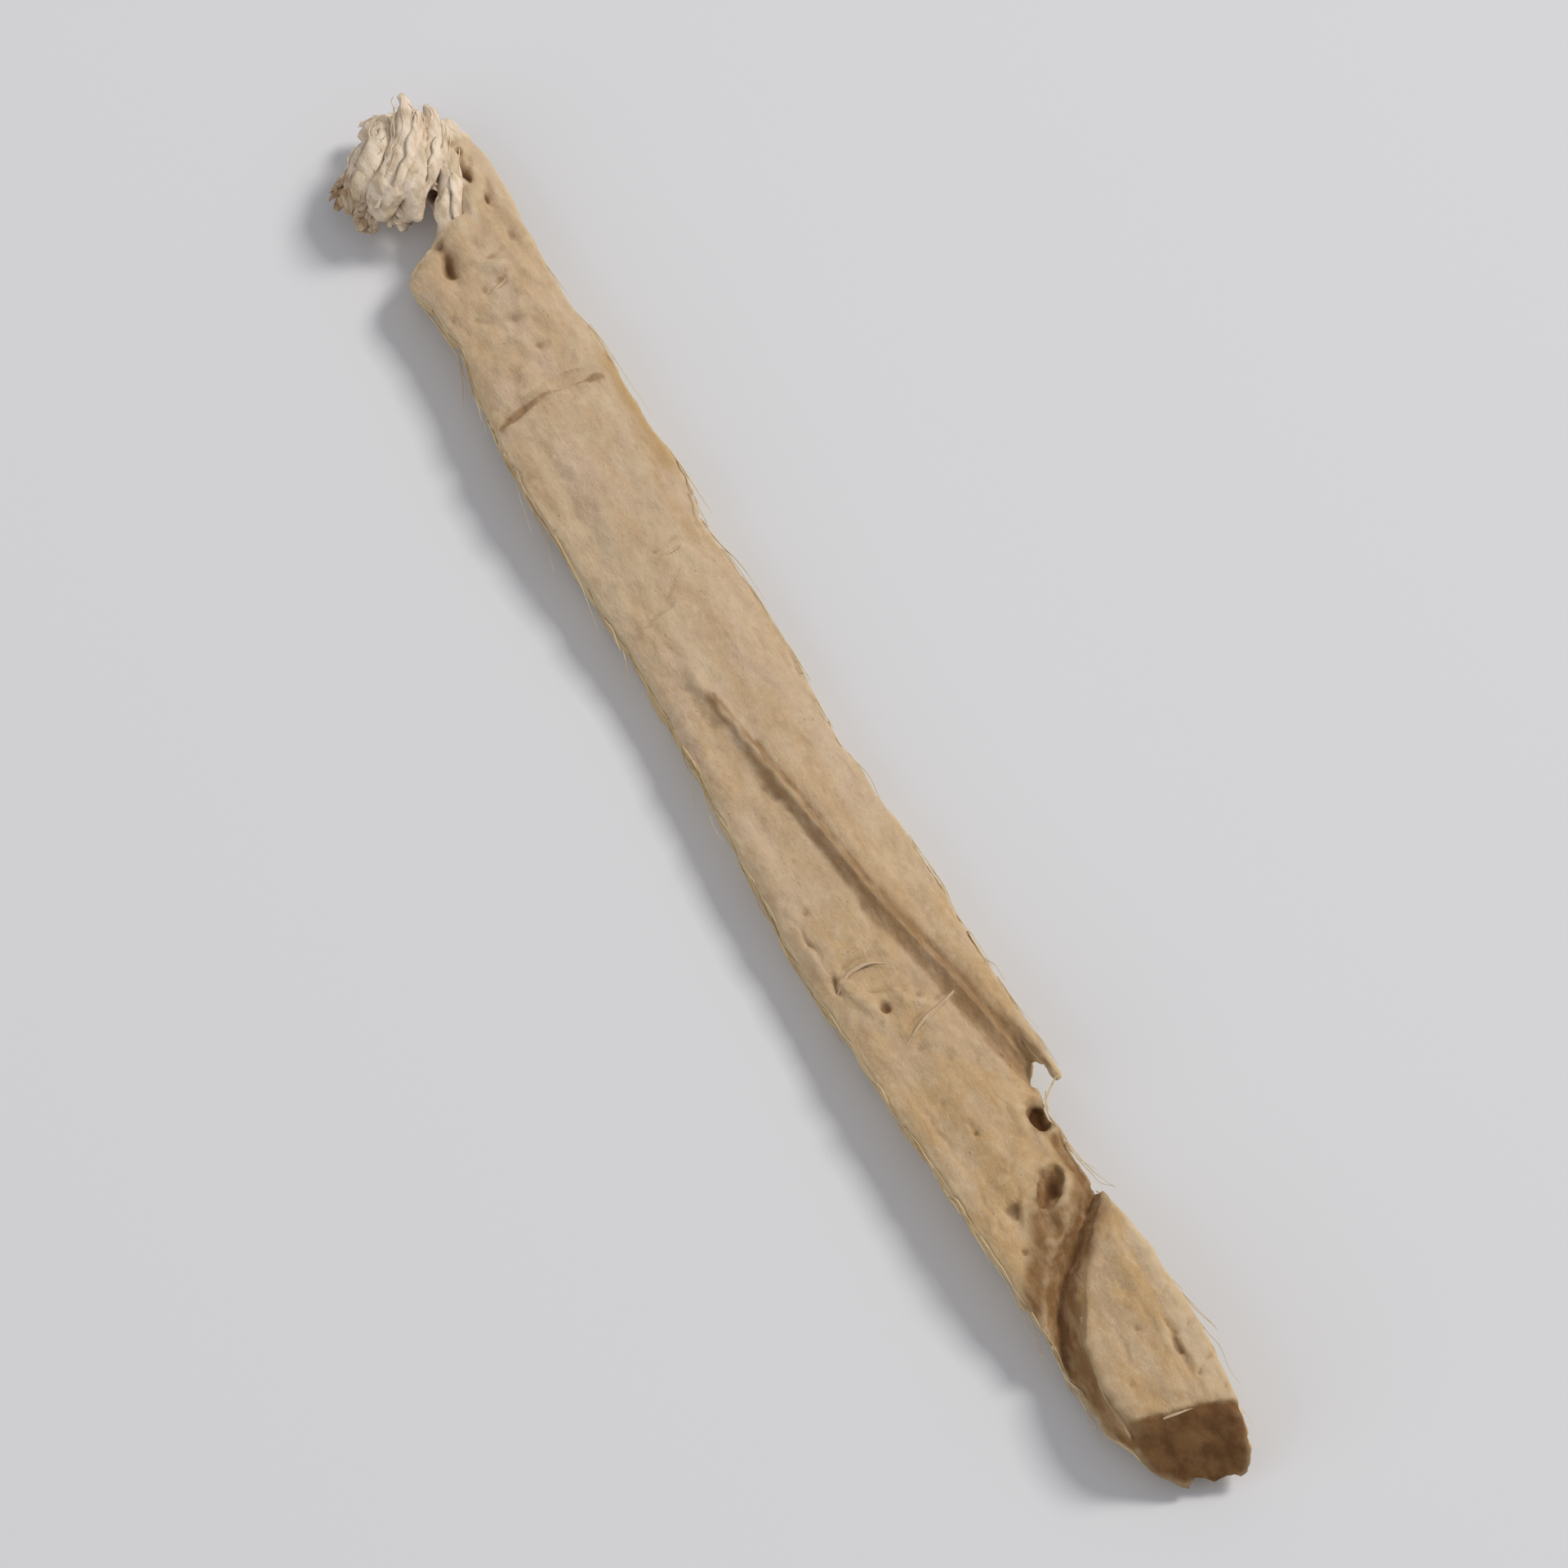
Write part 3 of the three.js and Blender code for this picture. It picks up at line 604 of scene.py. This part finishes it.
class Nodes:
    """Builds a material's nodes, one call to a line."""

    def __init__(self, name):
        self.material = bpy.data.materials.new(name)
        self.material.use_nodes = True
        self.tree = self.material.node_tree
        self.shader = self.tree.nodes["Principled BSDF"]
        coordinates = self.tree.nodes.new("ShaderNodeTexCoord")
        self.place = coordinates.outputs["Object"]

    def add(self, kind, **inputs):
        node = self.tree.nodes.new(kind)
        for name, value in inputs.items():
            self.feed(node.inputs[name.replace("_", " ")], value)
        return node

    def feed(self, socket, value):
        if isinstance(value, bpy.types.NodeSocket):
            self.tree.links.new(value, socket)
        else:
            socket.default_value = value

    def mask(self, name):
        node = self.tree.nodes.new("ShaderNodeAttribute")
        node.attribute_name = name
        return node.outputs["Fac"]

    def along(self):
        return self.add("ShaderNodeSeparateXYZ", Vector=self.place).outputs["X"]

    def beside(self):
        return self.add("ShaderNodeSeparateXYZ", Vector=self.place).outputs["Y"]

    def stretched(self, scale, turn=0.0):
        node = self.add("ShaderNodeMapping", Vector=self.place)
        node.inputs["Rotation"].default_value = (0, 0, turn)
        node.inputs["Scale"].default_value = [value / MM for value in scale]
        return node.outputs["Vector"]

    def noise(self, scale, detail=4.0, rough=0.6, turn=0.0):
        node = self.add("ShaderNodeTexNoise", Vector=self.stretched(scale, turn))
        node.inputs["Scale"].default_value = 1.0
        node.inputs["Detail"].default_value = detail
        node.inputs["Roughness"].default_value = rough
        return node.outputs["Fac"]

    def range(self, value, low, high, start=0.0, end=1.0):
        node = self.add("ShaderNodeMapRange", Value=value)
        node.interpolation_type = "SMOOTHSTEP"
        for name, number in (("From Min", low), ("From Max", high), ("To Min", start), ("To Max", end)):
            node.inputs[name].default_value = number
        return node.outputs["Result"]

    def mix(self, share, first, second):
        node = self.tree.nodes.new("ShaderNodeMix")
        node.data_type = "RGBA"
        self.feed(node.inputs[0], share)
        self.feed(node.inputs[6], first)
        self.feed(node.inputs[7], second)
        return node.outputs[2]

    def times(self, first, second):
        node = self.tree.nodes.new("ShaderNodeMath")
        node.operation = "MULTIPLY"
        self.feed(node.inputs[0], first)
        self.feed(node.inputs[1], second)
        return node.outputs[0]

    def bump(self, height, depth, normal=None):
        node = self.tree.nodes.new("ShaderNodeBump")
        node.inputs["Distance"].default_value = depth * MM
        self.feed(node.inputs["Height"], height)
        if normal is not None:
            self.feed(node.inputs["Normal"], normal)
        return node.outputs["Normal"]

    def dried(self):
        """The finished material, with the dry, matt surface that all of the root shares."""
        self.shader.inputs["Roughness"].default_value = DRY_ROUGHNESS
        self.shader.inputs["Specular IOR Level"].default_value = DRY_SHINE
        return self.material


def tint(red, green, blue):
    """A colour from its screen values, 0 to 255."""
    return [(value / 255) ** 2.2 for value in (red, green, blue)] + [1.0]


BARK_TAN = tint(205, 179, 147)
BARK_WARM = tint(200, 170, 134)
BARK_ROSY = tint(205, 177, 150)
BARK_DARK = tint(163, 131, 98)
BARK_PALE = tint(226, 205, 174)
BARK_OCHRE = tint(199, 164, 119)
RIM_YELLOW = tint(186, 150, 102)
WOOD_CREAM = tint(226, 205, 166)
WOOD_STRAW = tint(205, 176, 130)
WOOD_BROWN = tint(164, 128, 88)
# The cut end's own brown and its darker tone, both deepened with painted shade
CUT_SHADED_BROWN = tint(132, 96, 61)
CUT_SHADED_DARK = tint(106, 74, 44)
KNOT_WHITE = tint(243, 224, 201)
KNOT_GREY = tint(210, 188, 160)
# Colours of painted shade: in crevices, in shaded places, at the bottoms of pits and in hollows
CREVICE_SHADE = tint(126, 96, 66)
SHADE_BROWN = tint(140, 105, 68)
PIT_SHADE = tint(84, 54, 28)
HOLLOW_SHADE = tint(92, 62, 34)
FLECK_BROWN = tint(124, 92, 60)


# Painted shade: the knot darkens from white toward the bark's dark tone on its shaded side, between these
# places across the strip, in millimetres of the frame
KNOT_SHADE_FROM = -1.1
KNOT_SHADE_TO = -1.75


def bark_colour(nodes):
    soft = nodes.noise((0.22, 0.8, 0.8), 3.0, 0.5)
    blotches = nodes.noise((0.5, 0.9, 0.9), 4.0, 0.6)
    colour = nodes.mix(nodes.range(soft, 0.4, 0.62), BARK_WARM, BARK_TAN)
    colour = nodes.mix(nodes.range(blotches, 0.46, 0.66, 0, 0.8), colour, BARK_ROSY)
    along = nodes.range(nodes.along(), -3.0 * MM, 14.0 * MM)
    colour = nodes.mix(along, colour, nodes.mix(nodes.range(blotches, 0.4, 0.6), BARK_OCHRE, BARK_WARM))
    threads = nodes.noise((0.7, 4.0, 4.0), 4.0)
    colour = nodes.mix(nodes.range(threads, 0.56, 0.76, 0, 0.25), colour, BARK_PALE)
    colour = nodes.mix(nodes.range(threads, 0.44, 0.28, 0, 0.22), colour, BARK_DARK)
    patches = nodes.noise((0.9, 1.5, 1.5), 5.0, 0.72)
    colour = nodes.mix(nodes.range(patches, 0.5, 0.62, 0, 0.22), colour, BARK_PALE)
    colour = nodes.mix(nodes.range(patches, 0.46, 0.36, 0, 0.22), colour, BARK_DARK)
    mottle = nodes.noise((4.0, 5.0, 5.0), 5.0, 0.75)
    colour = nodes.mix(nodes.range(mottle, 0.5, 0.68, 0, 0.25), colour, BARK_PALE)
    colour = nodes.mix(nodes.range(mottle, 0.46, 0.3, 0, 0.22), colour, BARK_DARK)
    flecks = nodes.noise((5.0, 8.0, 8.0), 2.0)
    return nodes.mix(nodes.range(flecks, 0.69, 0.78, 0, 0.5), colour, FLECK_BROWN)


def wood_colour(nodes):
    fibres = nodes.noise((0.22, 6.0, 6.0), 5.0, 0.65)
    tone = nodes.noise((0.12, 0.8, 0.8), 2.0)
    colour = nodes.mix(nodes.range(fibres, 0.36, 0.66), WOOD_STRAW, WOOD_CREAM)
    return nodes.mix(nodes.range(tone, 0.5, 0.75, 0, 0.6), colour, WOOD_BROWN)


# The cut end's own brown, darkened further with painted shade because the end face lies in shade
def cut_colour(nodes):
    fibres = nodes.noise((0.5, 2.2, 2.2), 4.0)
    colour = nodes.mix(nodes.range(fibres, 0.35, 0.65), CUT_SHADED_DARK, CUT_SHADED_BROWN)
    tone = nodes.noise((0.7, 1.3, 1.3), 3.0)
    return nodes.mix(nodes.range(tone, 0.5, 0.7, 0, 0.6), colour, SHADE_BROWN)


def knot_colour(nodes):
    folds = nodes.noise((1.1, 3.0, 3.0), 5.0, turn=-STRAND_TURN)
    colour = nodes.mix(nodes.range(folds, 0.34, 0.58), KNOT_GREY, KNOT_WHITE)
    # Painted shade on the knot's shaded side
    aside = nodes.range(nodes.beside(), KNOT_SHADE_FROM * MM, KNOT_SHADE_TO * MM)
    return nodes.mix(aside, colour, nodes.mix(nodes.range(folds, 0.4, 0.6), BARK_DARK, KNOT_GREY))


def root_material():
    nodes = Nodes("dried root")
    colour = nodes.mix(nodes.mask("bark"), wood_colour(nodes), bark_colour(nodes))
    colour = nodes.mix(nodes.times(nodes.mask("rim"), 0.8), colour, RIM_YELLOW)
    colour = nodes.mix(nodes.times(nodes.mask("pale"), 0.35), colour, BARK_PALE)
    colour = nodes.mix(nodes.mask("cut"), colour, cut_colour(nodes))
    colour = nodes.mix(nodes.mask("knot"), colour, knot_colour(nodes))
    uneven = nodes.range(nodes.noise((1.0, 3.0, 3.0)), 0.3, 0.6, 0.55, 1.0)
    # Painted shade in the hollows and crevices, darker the deeper the skin lies
    hollow = nodes.range(nodes.mask("hollow"), 0.25, 1.0, 0, 0.75)
    colour = nodes.mix(hollow, colour, HOLLOW_SHADE)
    crevice = nodes.range(nodes.mask("crevice"), 0.3, 1.0, 0, 0.5)
    colour = nodes.mix(crevice, colour, CREVICE_SHADE)
    # Painted shade over the shaded valley, the split's wall and round the pits, made uneven
    colour = nodes.mix(nodes.times(nodes.mask("painted_shade"), uneven), colour, SHADE_BROWN)
    # Painted shade, darkest at the bottoms of the pits
    colour = nodes.mix(nodes.mask("pit"), colour, PIT_SHADE)
    # Painted shade in the pressed lines and dots, darker the deeper they are pressed
    scored = nodes.range(nodes.mask("scored"), 0.3, 1.0, 0, 0.4)
    colour = nodes.mix(scored, colour, SHADE_BROWN)
    # Painted highlight: the higher places of the skin are lightened toward cream
    lifted = nodes.range(nodes.mask("crevice_edge"), 0.2, 1.0, 0, 0.3)
    colour = nodes.mix(lifted, colour, WOOD_CREAM)
    nodes.feed(nodes.shader.inputs["Base Color"], colour)
    creased = nodes.bump(nodes.noise((0.8, 4.0, 4.0), 6.0, 0.7), 0.03)
    rough = nodes.bump(nodes.noise((3.0, 4.2, 4.2), 6.0, 0.7), 0.042, creased)
    grit = nodes.bump(nodes.noise((9.0, 12.0, 12.0), 5.0, 0.75), 0.022, rough)
    nodes.feed(nodes.shader.inputs["Normal"], grit)
    return nodes.dried()


def fibre_material(name, pale, dark, shaded_side=None):
    nodes = Nodes(name)
    streaks = nodes.noise((1.2, 3.0, 3.0), 5.0, turn=-STRAND_TURN)
    colour = nodes.mix(nodes.range(streaks, 0.35, 0.62), dark, pale)
    # Painted shade on the shaded side of the torn tissue
    if shaded_side is not None:
        aside = nodes.range(nodes.beside(), KNOT_SHADE_FROM * MM, KNOT_SHADE_TO * MM)
        colour = nodes.mix(aside, colour, nodes.mix(nodes.range(streaks, 0.4, 0.6), shaded_side, KNOT_GREY))
    nodes.feed(nodes.shader.inputs["Base Color"], colour)
    nodes.feed(nodes.shader.inputs["Normal"], nodes.bump(nodes.noise((9.0, 14.0, 14.0), 4.0), 0.03))
    return nodes.dried()


# Strands and fibres: thin closed tubes along free curves
def make_profile(name, outline):
    """A closed cross-section for flat strips, drawn one unit to each side."""
    curve = bpy.data.curves.new(name, "CURVE")
    curve.dimensions = "2D"
    spline = curve.splines.new("POLY")
    spline.points.add(len(outline) - 1)
    for knot, (aside, above) in zip(spline.points, outline):
        knot.co = (aside, above, 0, 1)
    spline.use_cyclic_u = True
    profile = bpy.data.objects.new(name, curve)
    bpy.context.scene.collection.objects.link(profile)
    return profile


def make_strands(name, strands, profile=None):
    """Each strand is a list of (point, half width, tilt) in millimetres; they become one mesh."""
    curve = bpy.data.curves.new(name, "CURVE")
    curve.dimensions = "3D"
    curve.twist_mode = "Z_UP"
    curve.resolution_u = 3
    curve.use_fill_caps = True
    if profile:
        curve.bevel_mode = "OBJECT"
        curve.bevel_object = profile
    else:
        curve.bevel_depth = 1.0
        curve.bevel_resolution = 1
    for strand in strands:
        spline = curve.splines.new("NURBS")
        spline.points.add(len(strand) - 1)
        spline.use_endpoint_u = True
        spline.order_u = 3
        for knot, (point, half_width, tilt) in zip(spline.points, strand):
            knot.co = (*point, 1.0)
            knot.radius = half_width
            knot.tilt = tilt
    piece = bpy.data.objects.new(name, curve)
    bpy.context.scene.collection.objects.link(piece)
    make_active(piece)
    bpy.ops.object.convert(target="MESH")
    piece = bpy.context.object
    bpy.ops.object.mode_set(mode="EDIT")
    bpy.ops.mesh.select_all(action="SELECT")
    bpy.ops.mesh.normals_make_consistent(inside=False)
    bpy.ops.object.mode_set(mode="OBJECT")
    return piece


# The folds of torn tissue over the knot, as drawn in millimetres: path, half width, how many fibres
KNOT_FOLDS = (
    (((-24.2, 0.9, 1.8), (-23.7, 0.75, 1.88), (-22.7, 0.1, 1.9), (-22.0, -0.7, 1.9), (-21.6, -1.4, 1.35)),
     0.42, 6),
    (((-24.1, 0.2, 1.35), (-23.4, -0.25, 1.62), (-22.7, -1.0, 1.6), (-22.1, -1.7, 1.0)), 0.38, 5),
    (((-23.8, 1.5, 1.35), (-22.9, 1.1, 1.62), (-21.9, 0.3, 1.75), (-21.3, -0.5, 1.4)), 0.34, 5),
    (((-23.0, 1.7, 1.0), (-22.2, 1.2, 1.4), (-21.3, 0.8, 1.42), (-20.4, 0.35, 1.22), (-19.7, 0.0, 1.1)),
     0.28, 3),
    (((-24.0, 0.1, 0.85), (-23.4, -0.85, 1.2), (-22.75, -1.5, 1.1), (-22.1, -2.0, 0.75)), 0.35, 4),
    (((-22.3, -1.0, 1.3), (-21.9, -1.5, 1.0), (-21.6, -1.85, 0.65)), 0.33, 4),
    (((-21.7, -0.5, 1.3), (-21.4, -0.8, 1.1), (-21.15, -1.05, 0.85)), 0.32, 3),
    (((-23.3, -0.7, 1.0), (-22.95, -1.6, 0.8), (-22.6, -2.15, 0.45)), 0.33, 4),
    (((-23.4, 0.5, 1.1), (-24.1, 0.25, 0.95), (-24.45, -0.4, 0.65)), 0.33, 3),
)


def strip_section(thickness, camber, steps=6):
    """Outline of a flat, curled strip of tissue, one unit to each side."""
    places = [2 * step / steps - 1 for step in range(steps + 1)]
    top = [(place, camber * (1 - place * place)) for place in places]
    below = [(place, height - thickness * (1 - place ** 4)) for place, height in top]
    return top + below[-2:0:-1]


def along_path(path, share):
    """A point on a path of straight runs, share from 0 to 1."""
    place = min(max(share, 0.0), 1.0) * (len(path) - 1)
    first = min(int(place), len(path) - 2)
    return Vector(path[first]).lerp(Vector(path[first + 1]), place - first)


STRAND_STEPS = 8


def draw_on_folds(seed, per_fold, sizes, reaches):
    """Strands that lie on each fold, spread over its upper side and loose at their ends."""
    draw = random.Random(seed)
    strands = []
    for path, half_width, fullness in KNOT_FOLDS:
        forward = (Vector(path[-1]) - Vector(path[0])).normalized()
        side = Vector((0, 0, 1)).cross(forward).normalized()
        up = forward.cross(side)
        count = max(1, round(fullness * per_fold))
        for number in range(count):
            angle = math.pi * (0.08 + 0.84 * (number + draw.uniform(0.2, 0.8)) / count)
            start, stop = draw.uniform(0.0, 0.3), draw.uniform(0.72, 1.0)
            if number == count // 2:
                start, stop = 0.0, 1.0
            size = draw.uniform(*sizes)
            strand = []
            for step in range(STRAND_STEPS + 1):
                share = start + (stop - start) * step / STRAND_STEPS
                turned = angle + 0.22 * math.sin(2.6 * step + number)
                outward = side * math.cos(turned) + up * (0.85 * math.sin(turned))
                reach = half_width * draw.uniform(*reaches) + 0.02
                point = drawn(*along_path(path, share)) + outward * reach
                middle = math.sin(math.pi * (step + 0.5) / (STRAND_STEPS + 1))
                width = size * (0.14 + 0.86 * middle ** 0.8)
                strand.append((point, width, turned - math.pi / 2))
            strands.append(strand)
    return strands


# Fibres along the split edges, as drawn: side, from and to along the strip, how many
EDGE_FIBRES = (
    (1, -19.5, 8.5, 46), (1, 11.5, 23.5, 22), (-1, -18.5, 22.0, 80), (1, 8.0, 11.3, 8),
)
EDGE_STEP = 0.25
EDGE_LOWEST = 0.25
SLICE = 0.1
FIBRE_STEPS = 6


def edge_line(skin, side, places):
    """The outermost points of the skin on one side, at places along the strip."""
    points = points_of(skin) - np.array(DRAWN_AT)
    line = []
    for place in places:
        slice_points = points[np.abs(points[:, 0] - place) < SLICE]
        slice_points = slice_points[slice_points[:, 2] > EDGE_LOWEST]
        line.append(slice_points[np.argmax(side * slice_points[:, 1])])
    return np.array(line)


def draw_edge_fibres(skin):
    """Loose wood fibres that lie along the split edges, a few of them standing off at one end."""
    draw = random.Random(EDGE_SEED)
    strands = []
    for side, first, last, count in EDGE_FIBRES:
        places = np.arange(first, last, EDGE_STEP)
        line = edge_line(skin, side, places)
        for _ in range(count):
            length = draw.uniform(0.7, 3.6)
            start = draw.uniform(first, last - length)
            size = draw.uniform(0.012, 0.028)
            height = draw.uniform(-0.42, 0.2)
            stand_off = draw.choice((0.0, 0.0, 0.05, 0.2, 0.45)) * min(1.0, length / 2)
            droop = draw.uniform(-0.2, 0.25)
            strand = []
            for step in range(FIBRE_STEPS + 1):
                share = step / FIBRE_STEPS
                place = start + length * share
                y = np.interp(place, places, line[:, 1])
                z = np.interp(place, places, line[:, 2])
                out = stand_off * share * share + 0.012 * math.sin(3 * step + length)
                out -= 0.16 * height * height
                point = drawn(place, y + side * out, max(z + height + droop * share, 0.05))
                strand.append((inside_box(point, 1.5 * size), size * (1.0 - 0.75 * share), 0.0))
            strands.append(strand)
    return strands


# Thin flakes and a splinter lying on the bark, as drawn: path, half width
FLAKES = (
    (((7.85, 0.75), (8.1, 0.15), (8.35, -0.5), (8.75, -1.25)), 0.075),
    (((8.0, 0.4), (8.3, -0.2), (8.5, -0.6)), 0.05),
    (((6.35, -2.1), (5.98, -1.6), (5.95, -0.95), (6.3, -0.35)), 0.07),
    (((-8.15, 1.15), (-8.0, 0.6), (-7.9, 0.0)), 0.045),
    (((-6.2, -1.5), (-6.25, -0.95), (-6.45, -0.2)), 0.04),
    (((-17.9, 0.9), (-17.75, 0.4), (-17.6, 0.0)), 0.07),
    (((22.3, -0.95), (22.4, -0.5), (22.48, 0.1)), 0.045),
)
HIGH_ABOVE = 9.0


def draw_flakes(skin):
    """Each flake follows the bark beneath it, a little raised in its middle."""
    strands = []
    for path, half_width in FLAKES:
        strand = []
        for step in range(STRAND_STEPS + 1):
            share = step / STRAND_STEPS
            x, y, _ = along_path([(*place, 0.0) for place in path], share)
            above = drawn(x, y, HIGH_ABOVE)
            _, spot, _, _ = skin.ray_cast(above, Vector((0, 0, -1)))
            rise = 0.03 * math.sin(math.pi * share) - 0.02
            width = half_width * (0.3 + 0.7 * math.sin(math.pi * (share * 0.9 + 0.08)))
            strand.append((spot + Vector((0, 0, rise)), width, 0.35 * math.sin(5 * share)))
        strands.append(strand)
    return strands


# Camera, light and floor
# Angles in degrees, width of the picture in millimetres, distance and floor in metres
VIEW_AZIMUTH = 61.0
VIEW_ELEVATION = 62.0
VIEW_WIDTH = 43.5
VIEW_DISTANCE = 0.55
SENSOR = 36.0
FLOOR_SIZE = 3.0
FLOOR_GREY = (0.74, 0.74, 0.76, 1)
ROOM_LIGHT = (0.95, 0.96, 1.0, 1)
ROOM_STRENGTH = 0.38


def view_axes():
    azimuth, elevation = math.radians(VIEW_AZIMUTH), math.radians(VIEW_ELEVATION)
    level = math.cos(elevation)
    back = Vector((math.sin(azimuth) * level, -math.cos(azimuth) * level, math.sin(elevation)))
    right = Vector((math.cos(azimuth), math.sin(azimuth), 0))
    return right, back.cross(right), back


def add_camera():
    _, _, back = view_axes()
    lens = bpy.data.cameras.new("camera")
    lens.sensor_width = SENSOR
    lens.lens = SENSOR * VIEW_DISTANCE / (VIEW_WIDTH * MM)
    lens.clip_start = 0.01
    camera = bpy.data.objects.new("camera", lens)
    bpy.context.scene.collection.objects.link(camera)
    low, high = CAD_BOX
    camera.location = (low + high) / 2 + back * VIEW_DISTANCE
    camera.rotation_euler = back.to_track_quat("Z", "Y").to_euler()
    bpy.context.scene.camera = camera


def add_light(name, aside, above, towards, distance, size, power, colour):
    right, up, back = view_axes()
    bulb = bpy.data.lights.new(name, "AREA")
    bulb.size = size
    bulb.energy = power
    bulb.color = colour
    lamp = bpy.data.objects.new(name, bulb)
    bpy.context.scene.collection.objects.link(lamp)
    way = (right * aside + up * above + back * towards).normalized()
    lamp.location = way * distance
    lamp.rotation_euler = way.to_track_quat("Z", "Y").to_euler()


def add_stage():
    deselect_all()
    bpy.ops.mesh.primitive_plane_add(size=FLOOR_SIZE)
    floor = bpy.context.object
    floor.name = "floor"
    nodes = Nodes("pale floor")
    nodes.shader.inputs["Base Color"].default_value = FLOOR_GREY
    nodes.shader.inputs["Roughness"].default_value = 0.9
    floor.data.materials.append(nodes.material)
    world = bpy.data.worlds.new("soft room")
    world.use_nodes = True
    world.node_tree.nodes["Background"].inputs["Color"].default_value = ROOM_LIGHT
    world.node_tree.nodes["Background"].inputs["Strength"].default_value = ROOM_STRENGTH
    bpy.context.scene.world = world
    bpy.context.scene.view_settings.view_transform = "Standard"


add_camera()
add_light("key", 0.62, 0.66, 0.4, 0.7, 0.2, 3.2, (1.0, 0.975, 0.93))
add_light("fill", -0.7, -0.1, 0.6, 0.8, 0.6, 1.1, (0.97, 0.98, 1.0))
add_stage()

skin = make_skin()
masks = paint_masks(skin)
taper_tips(skin)
wear_grooves(skin)
add_relief(skin, masks)
lift_split_edge(skin, masks)
flatten_low_edge(skin, masks)
score_bark(skin, masks)
paint_crevices(skin)
skin.vertex_groups.clear()
thin_out(skin)
keep_in_box(skin)
fibre_paths = draw_edge_fibres(skin)
flake_paths = draw_flakes(skin)
to_metres(skin)
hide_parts(NODE)
finish_piece(skin, root_material())

tissue = fibre_material("torn tissue", KNOT_WHITE, KNOT_GREY, BARK_DARK)
loose_wood = fibre_material("loose wood", WOOD_CREAM, WOOD_STRAW)
loose_bark = fibre_material("loose bark", BARK_TAN, BARK_WARM)
profile = make_profile("strip section", strip_section(0.2, 0.3))
shreds = make_strands("knot_shreds", draw_on_folds(STRAND_SEED, 0.75, (0.22, 0.42), (0.8, 1.0)), profile)
flakes = make_strands("bark_flakes", flake_paths, profile)
bpy.data.objects.remove(profile)
fibres = make_strands("edge_fibres", fibre_paths)
hairs = make_strands("knot_hairs", draw_on_folds(FRAY_SEED, 1.0, (0.014, 0.03), (0.95, 1.3)))
for piece, material in ((shreds, tissue), (hairs, tissue), (fibres, loose_wood), (flakes, loose_bark)):
    keep_in_box(piece)
    to_metres(piece)
    finish_piece(piece, material)
